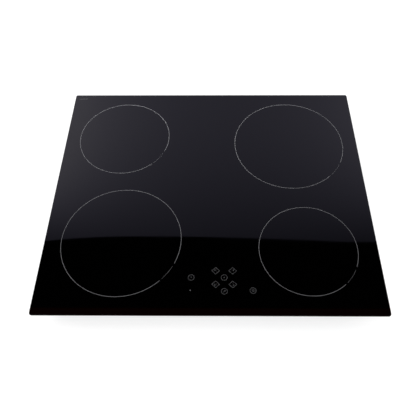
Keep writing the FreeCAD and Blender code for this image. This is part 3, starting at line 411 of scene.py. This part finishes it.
def board_finish(name, low, high):
    """Solder mask over tracks between two heights, and black plastic above and below them."""
    mat, shader = finish(name, SOLDER_GREEN, 0.35)
    place = place_of(mat)
    tracks = pattern(mat, "Brick", place, scale=1.0, mortar_size=TRACK_W, brick_width=TRACK_RUN,
                     row_height=TRACK_PITCH, offset=TRACK_OFFSET)["Fac"]
    lighter = tuple(c * TRACK_GAIN for c in SOLDER_GREEN)
    board = mix_colour(mat, tracks, (*SOLDER_GREEN, 1), (*lighter, 1))
    height = parts_of(mat, place)[2]
    above = compute(mat, "GREATER_THAN", height, high + LAYER_SLACK)
    below = compute(mat, "LESS_THAN", height, low - LAYER_SLACK)
    either = compute(mat, "MAXIMUM", above, below)
    join(mat, mix_colour(mat, either, board, CHIP_BLACK), shader.inputs["Base Color"])
    bump(mat, shader, tracks, TRACK_RELIEF)
    return mat


board_low, board_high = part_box("power_board_left")
touch_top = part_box("touch_board")[1].z
dress(board_finish("solder_mask", board_low.z, board_high.z), "filter_board", *nodes_called("power_board_"))
dress(board_finish("touch_solder_mask", touch_top - BOARD_T, touch_top), "touch_board")

BLACK_MOULDING = mottled_finish("black_moulding", (0.025, 0.025, 0.027), 0.48, spread=0.2,
                                roughness_spread=0.12, blotches=35.0, grain=1200.0, relief=0.04,
                                edge=(0.06, 0.06, 0.063))
CAPACITOR_CASE = mottled_finish("capacitor_case", (0.62, 0.44, 0.05), 0.30, spread=0.08,
                                roughness_spread=0.1, blotches=60.0, grain=700.0, relief=0.03,
                                edge=(0.70, 0.53, 0.12))
dress(BLACK_MOULDING, "power_transistors", "touch_carrier", "fan_covers", "air_ducts",
      *nodes_called("fan_housing_"), *nodes_called("fan_rotor_"))
dress(CAPACITOR_CASE, "film_capacitors")


# ---------------------------------------------------------------- heat sinks and coil plates
# The heat sinks are extruded and the coil plates are rolled, both in bare aluminium. The
# extrusion's lines and the mill's lines run along Y.
LINE_STRETCH, LINE_DARK, LINE_RELIEF = 100, 0.82, 0.02 * MM


def drawn_metal(name, colour, roughness, across):
    """Bare metal with fine lines along Y."""
    mat, shader = finish(name, colour, roughness, 1.0)
    stretch = add(mat, "Mapping", scale=(across, across / LINE_STRETCH, across))
    join(mat, place_of(mat), stretch.inputs["Vector"])
    lines = pattern(mat, "Noise", stretch.outputs[0], scale=1.0, detail=4.0)["Fac"]
    dark = tuple(c * LINE_DARK for c in colour)
    join(mat, mix_colour(mat, lines, (*dark, 1), (*colour, 1)), shader.inputs["Base Color"])
    bump(mat, shader, lines, LINE_RELIEF)
    return mat


dress(drawn_metal("extruded_aluminium", (0.78, 0.79, 0.81), 0.34, 2500.0), *nodes_called("heat_sink_"))
dress(drawn_metal("rolled_aluminium", (0.83, 0.84, 0.86), 0.28, 1500.0), *nodes_called("coil_plate_"))


# ---------------------------------------------------------------- coils
# Each coil is enamelled copper strand on a cream plastic wheel over eight ferrite bars, with
# a mica disc on top and a ceramic feeler in the hub. The strands cross the turns at a slant.
STRANDS_ROUND, STRAND_TURN, STRAND_RELIEF = 160.0, 8 * MM, 0.2 * MM
# the two strand colours are painted shade in the grooves and a painted highlight on the crests of one copper
STRAND_PAINTED_SHADE, STRAND_PAINTED_HIGHLIGHT = (0.30, 0.10, 0.03, 1), (0.72, 0.32, 0.11, 1)


def strand_finish(name, centre):
    """Twisted enamelled strand on one flat winding, with the twist drawn round its centre as painted shade
    in the grooves between strands and a painted highlight on their crests.
    """
    mat, shader = finish(name, (0.55, 0.22, 0.07), 0.32, 1.0)
    centred = add(mat, "Mapping", location=(-centre.x, -centre.y, 0))
    join(mat, place_of(mat), centred.inputs["Vector"])
    flat = compute_vector(mat, "MULTIPLY", centred.outputs[0], (1, 1, 0))[0]
    radius = compute_vector(mat, "LENGTH", flat)["Value"]
    side = parts_of(mat, flat)
    around = compute(mat, "MULTIPLY", compute(mat, "ARCTAN2", side[1], side[0]), STRANDS_ROUND)
    out = compute(mat, "MULTIPLY", radius, 2 * math.pi / STRAND_TURN)
    wave = compute(mat, "SINE", compute(mat, "ADD", around, out))
    shade = remap(mat, wave, -1.0, 1.0, 0.0, 1.0)
    # painted shade and painted highlight: the twist's wave picks the groove colour or the crest colour
    join(mat, mix_colour(mat, shade, STRAND_PAINTED_SHADE, STRAND_PAINTED_HIGHLIGHT), shader.inputs["Base Color"])
    bump(mat, shader, shade, STRAND_RELIEF)
    return mat


for winding in nodes_called("coil_winding_"):
    low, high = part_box(winding)
    dress(strand_finish(winding.replace("coil_winding_", "strand_"), (low + high) / 2), winding)
CREAM_MOULDING = mottled_finish("cream_moulding", (0.66, 0.60, 0.45), 0.5, spread=0.08, roughness_spread=0.1,
                                blotches=40.0, grain=900.0, relief=0.04, edge=(0.74, 0.69, 0.56))
FERRITE = mottled_finish("sintered_ferrite", (0.055, 0.055, 0.06), 0.42, spread=0.35, roughness_spread=0.2,
                         blotches=250.0, grain=1800.0, relief=0.08, edge=(0.14, 0.14, 0.145))
MICA = mottled_finish("pressed_mica", (0.62, 0.56, 0.45), 0.36, spread=0.35, roughness_spread=0.25,
                      blotches=220.0, grain=1600.0, relief=0.05)
CERAMIC = mottled_finish("fired_ceramic", (0.80, 0.79, 0.74), 0.6, spread=0.06, roughness_spread=0.1,
                         blotches=120.0, grain=1500.0, relief=0.03)
SPRING = mottled_finish("spring_wire", (0.55, 0.55, 0.56), 0.3, spread=0.15, roughness_spread=0.2,
                        blotches=300.0, grain=2000.0, relief=0.01, metallic=1.0)
dress(CREAM_MOULDING, *nodes_called("coil_former_"))
dress(FERRITE, "ferrite_bars")
dress(MICA, "mica_discs")
dress(CERAMIC, "zone_sensors")
dress(SPRING, "plate_springs")


# ---------------------------------------------------------------- wiring
# The coil leads run in braided red sleeving, the touch unit's flat cable is ribbed grey
# plastic, and the chokes are wound with the same copper as the coils.
# the rib factor darkens the valleys between the ribs: painted shade
RIB_PITCH, RIB_PAINTED_SHADE = 1.27 * MM, 0.6


def ribbed_finish(name, colour, roughness):
    """Plastic with fine round ribs side by side along X, with painted shade in the valleys between them."""
    mat, shader = finish(name, colour, roughness)
    across = parts_of(mat, place_of(mat))[0]
    wave = compute(mat, "SINE", compute(mat, "MULTIPLY", across, 2 * math.pi / RIB_PITCH))
    shade = remap(mat, wave, -1.0, 1.0, 0.0, 1.0)
    # painted shade: the valleys get a darker copy of the plastic's colour
    dark = tuple(c * RIB_PAINTED_SHADE for c in colour)
    join(mat, mix_colour(mat, shade, (*dark, 1), (*colour, 1)), shader.inputs["Base Color"])
    bump(mat, shader, shade, RIB_PITCH / 5)
    return mat


SLEEVING = mottled_finish("red_sleeving", (0.42, 0.045, 0.025), 0.6, spread=0.3, roughness_spread=0.1,
                          blotches=500.0, grain=2500.0, relief=0.1)
CHOKE_WIRE = mottled_finish("choke_wire", (0.60, 0.24, 0.08), 0.3, spread=0.35, roughness_spread=0.2,
                            blotches=500.0, grain=1500.0, relief=0.1, metallic=1.0)
dress(ribbed_finish("ribbon_sheath", (0.42, 0.42, 0.43), 0.5), "ribbon_cable")
dress(SLEEVING, "wiring")
dress(CHOKE_WIRE, "filter_chokes")


# ---------------------------------------------------------------- touch unit and rails
# Foam sleeves and tinted displays stand on the touch board under the glass. Zinc-coated rails
# are bonded to the glass with grey silicone, and the tray is screwed to them.
FOAM = mottled_finish("cell_foam", (0.020, 0.020, 0.021), 0.85, spread=0.5, roughness_spread=0.1,
                      blotches=900.0, grain=2600.0, relief=0.3)
DISPLAY = mottled_finish("display_lens", (0.09, 0.006, 0.004), 0.15, spread=0.1, roughness_spread=0.05,
                         blotches=60.0, grain=500.0, relief=0.01)
SILICONE = mottled_finish("cured_silicone", (0.15, 0.15, 0.16), 0.42, spread=0.15, roughness_spread=0.15,
                          blotches=150.0, grain=500.0, relief=0.2)
dress(FOAM, "touch_pads")
dress(DISPLAY, "led_displays")
dress(SILICONE, "silicone_bonds")
dress(ZINC, *nodes_called("glass_rail_"))


# ---------------------------------------------------------------- worktop gasket
# A strip of soft black foam is stuck round the underside of the glass, close to its edge. Its
# corners and its long edges are rounded, and the worktop presses it flat.
GASKET_W, GASKET_ROUND, GASKET_STEPS = 6 * MM, 0.6 * MM, 4
SHARP_ANGLE = math.radians(50)


def gasket_strip(name, low, high):
    """A closed strip that fills the box's outline, GASKET_W wide, with rounded edges."""
    strip = rounded_sheet(name, (0, 0, high.z), high.x - low.x, high.y - low.y, 6)
    bpy.ops.mesh.inset(thickness=GASKET_W)
    bpy.ops.mesh.delete(type="FACE")
    bpy.ops.mesh.select_all(action="SELECT")
    extrude(low.z - high.z)
    leave_edit()
    outward(strip)
    bpy.context.view_layer.objects.active = strip
    round_off = strip.modifiers.new("round_off", "BEVEL")
    round_off.width, round_off.segments = GASKET_ROUND, GASKET_STEPS
    round_off.limit_method, round_off.angle_limit = "ANGLE", SHARP_ANGLE
    bpy.ops.object.modifier_apply(modifier=round_off.name)
    return strip


gasket = gasket_strip("foam_gasket", *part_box("worktop_gasket"))
gasket.data.materials.append(FOAM)
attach(gasket, "hob")
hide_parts("worktop_gasket")


# ---------------------------------------------------------------- glass and its printing
# One plate of black glass-ceramic, rolled, so its polished top is very slightly uneven. The
# front facet and the other edges are ground, and there the dark red-brown body shows. The
# rings and keys are fired on in grey enamel, and the dash in the corner in a darker grey.
glass_low, glass_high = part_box("glass_top")
FACET_RUN = 12 * MM
TOP_BODY, FACET_BODY = (0.0001, 0.0001, 0.0001, 1), (0.0016, 0.0001, 0.0, 1)
EDGE_BODY, UNDER_BODY = (0.006, 0.003, 0.0025, 1), (0.012, 0.011, 0.012, 1)
FACET_DULL, EDGE_DULL, UNDER_DULL = 0.07, 0.38, 0.5
SMEAR_SCALE, SMEAR_FROM, SMEAR_TO, CLEAN_DULL, SMEARED_DULL = 9.0, 0.35, 0.75, 0.018, 0.045
LEVEL_FACE, DOWN_FACE = 0.95, -0.5           # a normal's Z on flat faces and on the underside
ROLLING_SCALE, ROLLING_RELIEF, ROLLING_STRENGTH, GLASS_IOR = 5.0, 0.3 * MM, 0.5, 1.52
ENAMEL_GREY = (0.058, 0.058, 0.0607)
DASH_BAND, DASH_GREY = 20 * MM, (0.021, 0.021, 0.022, 1)


def black_glass():
    """Polished black on top, duller on the facet, the ground edges and the underside."""
    mat, shader = finish("black_glass_ceramic", TOP_BODY[:3])
    shader.inputs["IOR"].default_value = GLASS_IOR
    place = place_of(mat)
    facing = parts_of(mat, add(mat, "NewGeometry").outputs["Normal"])[2]
    facet = compute(mat, "LESS_THAN", parts_of(mat, place)[1], glass_low.y + FACET_RUN)
    ground = compute(mat, "LESS_THAN", compute(mat, "ABSOLUTE", facing), LEVEL_FACE)
    under = compute(mat, "LESS_THAN", facing, DOWN_FACE)
    smears = pattern(mat, "Noise", place, scale=SMEAR_SCALE, detail=5.0, roughness=0.6)["Fac"]
    body, rough = TOP_BODY, remap(mat, smears, SMEAR_FROM, SMEAR_TO, CLEAN_DULL, SMEARED_DULL)
    for mask, colour, dull in ((facet, FACET_BODY, FACET_DULL), (ground, EDGE_BODY, EDGE_DULL),
                               (under, UNDER_BODY, UNDER_DULL)):
        body = mix_colour(mat, mask, body, colour)
        chosen = add(mat, "Mix", data_type="FLOAT")
        for value, target in ((mask, chosen.inputs[0]), (rough, chosen.inputs[2]), (dull, chosen.inputs[3])):
            feed(mat, value, target)
        rough = chosen.outputs[0]
    join(mat, body, shader.inputs["Base Color"])
    join(mat, rough, shader.inputs["Roughness"])
    rolling = pattern(mat, "Noise", place, scale=ROLLING_SCALE, detail=1.0)["Fac"]
    bump(mat, shader, rolling, ROLLING_RELIEF, ROLLING_STRENGTH)
    return mat


def fired_enamel():
    """The grey print, with a darker grey behind the rings, where only the dash is."""
    mat = mottled_finish("fired_enamel", ENAMEL_GREY, 0.5, spread=0.15, roughness_spread=0.1,
                         blotches=260.0, grain=2400.0, relief=0.02)
    colour = mat.node_tree.nodes["Principled BSDF"].inputs["Base Color"]
    behind = compute(mat, "GREATER_THAN", parts_of(mat, place_of(mat))[1], glass_high.y - DASH_BAND)
    join(mat, mix_colour(mat, behind, colour.links[0].from_socket, DASH_GREY), colour)
    return mat


dress(black_glass(), "glass_top")
dress(fired_enamel(), "ring_markings", "key_markings")


# ---------------------------------------------------------------- floor, lamps and camera
# The hob lies on a plain white floor under soft, even light. A tall pale diffuser hangs behind
# it, brighter towards its foot and its ends, the left one most, and sags a little along its
# top hem. The polished glass mirrors it, and mirrors the dark ceiling in front of it.
DIFFUSER_Y, DIFFUSER_FOOT, DIFFUSER_TOP, DIFFUSER_HALF = 1.5, 0.2, 3.125, 2.1
HEM_SAG, SAG_X, SAG_LEFT, SAG_RIGHT = 0.107, -0.7, 0.9, 1.9
GLOW_BASE, GLOW_ACROSS, GLOW_UP = -2.36, (-0.34, 1.58), (2.13, -1.03, 0.126)
GLOW_SHEAR, GLOW_FAN = 0.054, -0.52
GLOW_MOST, GLOW_SIDE, GLOW_FOOT = 0.78, 1.35, 1.3
GLOW_RED, GLOW_BLUE, GLOW_BLUE_FALL = 1.04, 1.455, 0.36
CLOTH_COLUMNS, CLOTH_ROWS = 48, 32
FLOOR_SIZE, FLOOR_GLOW, FLOOR_TINT = 16, 0.62, 0.55
FLOOR_LIFT = 0.4 * MM    # keeps the floor clear of the tray's flat underside, so neither flickers
WALL_TOP, CEILING_FROM, WALL_GLOW = 0.45, 0.66, 0.75


def glow_at(x, z):
    """The diffuser's brightness at a point of its cloth; its sides and its foot are even."""
    x, z = max(-GLOW_SIDE, min(GLOW_SIDE, x)), max(GLOW_FOOT, z)
    across = GLOW_ACROSS[0] * x + GLOW_ACROSS[1] * x ** 2
    upward = GLOW_UP[0] * z + GLOW_UP[1] * z ** 2 + GLOW_UP[2] * z ** 3
    return min(GLOW_MOST, math.exp(GLOW_BASE + across + upward + (GLOW_SHEAR + GLOW_FAN * x) * x * z))


bpy.ops.mesh.primitive_grid_add(x_subdivisions=CLOTH_COLUMNS, y_subdivisions=CLOTH_ROWS, size=1)
diffuser = bpy.context.active_object
diffuser.name = "diffuser"
glow = diffuser.data.color_attributes.new("glow", "FLOAT_COLOR", "POINT")
for i, vertex in enumerate(diffuser.data.vertices):
    x, rise = vertex.co.x * 2 * DIFFUSER_HALF, vertex.co.y + 0.5
    reach = SAG_LEFT if x < SAG_X else SAG_RIGHT
    top = DIFFUSER_TOP - HEM_SAG * (1 - min(1.0, ((x - SAG_X) / reach) ** 2))
    z = DIFFUSER_FOOT + rise * (top - DIFFUSER_FOOT)
    vertex.co = (x, DIFFUSER_Y, z)
    level = glow_at(x, z)
    glow.data[i].color = (GLOW_RED * level, level, (GLOW_BLUE - GLOW_BLUE_FALL * level) * level, 1)
cloth = finish("diffuser_cloth", (0, 0, 0))[0]
light = add(cloth, "Emission")
join(cloth, add(cloth, "Attribute", attribute_name="glow").outputs["Color"], light.inputs["Color"])
join(cloth, light.outputs[0], cloth.node_tree.nodes["Material Output"].inputs["Surface"])
diffuser.data.materials.append(cloth)
diffuser.visible_camera = False
diffuser.visible_diffuse = False
diffuser.visible_shadow = False
diffuser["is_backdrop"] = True

bpy.ops.mesh.primitive_plane_add(size=FLOOR_SIZE, location=(0, 0, FLOOR_LIFT))
floor = bpy.context.active_object
floor.name = "floor"
paper, paper_shader = finish("floor_paper", (FLOOR_TINT,) * 3, 0.9)
paper_shader.inputs["Specular IOR Level"].default_value = 0.0
paper_shader.inputs["Emission Color"].default_value = (1, 1, 1, 1)
paper_shader.inputs["Emission Strength"].default_value = FLOOR_GLOW
choose = add(paper, "MixShader")
join(paper, add(paper, "NewGeometry").outputs["Backfacing"], choose.inputs[0])
join(paper, paper_shader.outputs[0], choose.inputs[1])
join(paper, add(paper, "BsdfTransparent").outputs[0], choose.inputs[2])
join(paper, choose.outputs[0], paper.node_tree.nodes["Material Output"].inputs["Surface"])
floor.data.materials.append(paper)
floor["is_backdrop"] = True

scene = bpy.context.scene
world = bpy.data.worlds.new("studio")
scene.world = world
world.use_nodes = True
sky = world.node_tree
even = sky.nodes["Background"]
even.inputs["Color"].default_value = (1, 1, 1, 1)
even.inputs["Strength"].default_value = 1.0
walls, pick = add(sky, "Background"), add(sky, "MixShader")
upward = parts_of(sky, add(sky, "TexCoord").outputs["Generated"])[2]
join(sky, remap(sky, upward, WALL_TOP, CEILING_FROM, WALL_GLOW, 0.0), walls.inputs["Strength"])
join(sky, add(sky, "LightPath").outputs["Is Glossy Ray"], pick.inputs[0])
join(sky, even.outputs[0], pick.inputs[1])
join(sky, walls.outputs[0], pick.inputs[2])
join(sky, pick.outputs[0], sky.nodes["World Output"].inputs["Surface"])


def area_lamp(name, spot, size, energy):
    """A square lamp that faces the hob's middle and isn't mirrored in the glass."""
    bpy.ops.object.light_add(type="AREA", location=spot)
    lamp = bpy.context.active_object
    lamp.name = name
    lamp.data.size = size
    lamp.data.energy = energy
    lamp.rotation_euler = (-lamp.location).to_track_quat("-Z", "Y").to_euler()
    lamp.visible_glossy = False
    return lamp


area_lamp("overhead_lamp", (-0.8, 0.3, 2.2), 1.6, 12.0)
back_lamp = area_lamp("back_lamp", (-0.1, 0.62, 0.5), 0.4, 20.0)
printing = bpy.data.collections.new("printing")    # the only things the low back lamp lights
for name in ("ring_markings", "key_markings"):
    printing.objects.link(node[name])
back_lamp.light_linking.receiver_collection = printing

CAMERA_SPOT = (0.0084, glass_low.y - 0.2468, glass_high.z + 0.7251)
CAMERA_TURN, CAMERA_DROP, CAMERA_ROLL = math.radians(1.01), math.radians(58.38), math.radians(-0.79)
CAMERA_SENSOR, CAMERA_LENS, CAMERA_SHIFT = 36, 39.5, (-0.0012, 0.0012)
bpy.ops.object.camera_add(location=CAMERA_SPOT)
camera = bpy.context.active_object
camera.name = "camera"
camera.data.sensor_width = CAMERA_SENSOR
camera.data.lens = CAMERA_LENS
camera.data.shift_x, camera.data.shift_y = CAMERA_SHIFT
turn, roll = Matrix.Rotation(CAMERA_TURN, 3, "Z"), Matrix.Rotation(CAMERA_ROLL, 3, "Z")
tilt = Matrix.Rotation(math.pi / 2 - CAMERA_DROP, 3, "X")
camera.rotation_euler = (turn @ tilt @ roll).to_euler()
scene.camera = camera
scene.view_settings.view_transform = "Standard"

low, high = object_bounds()
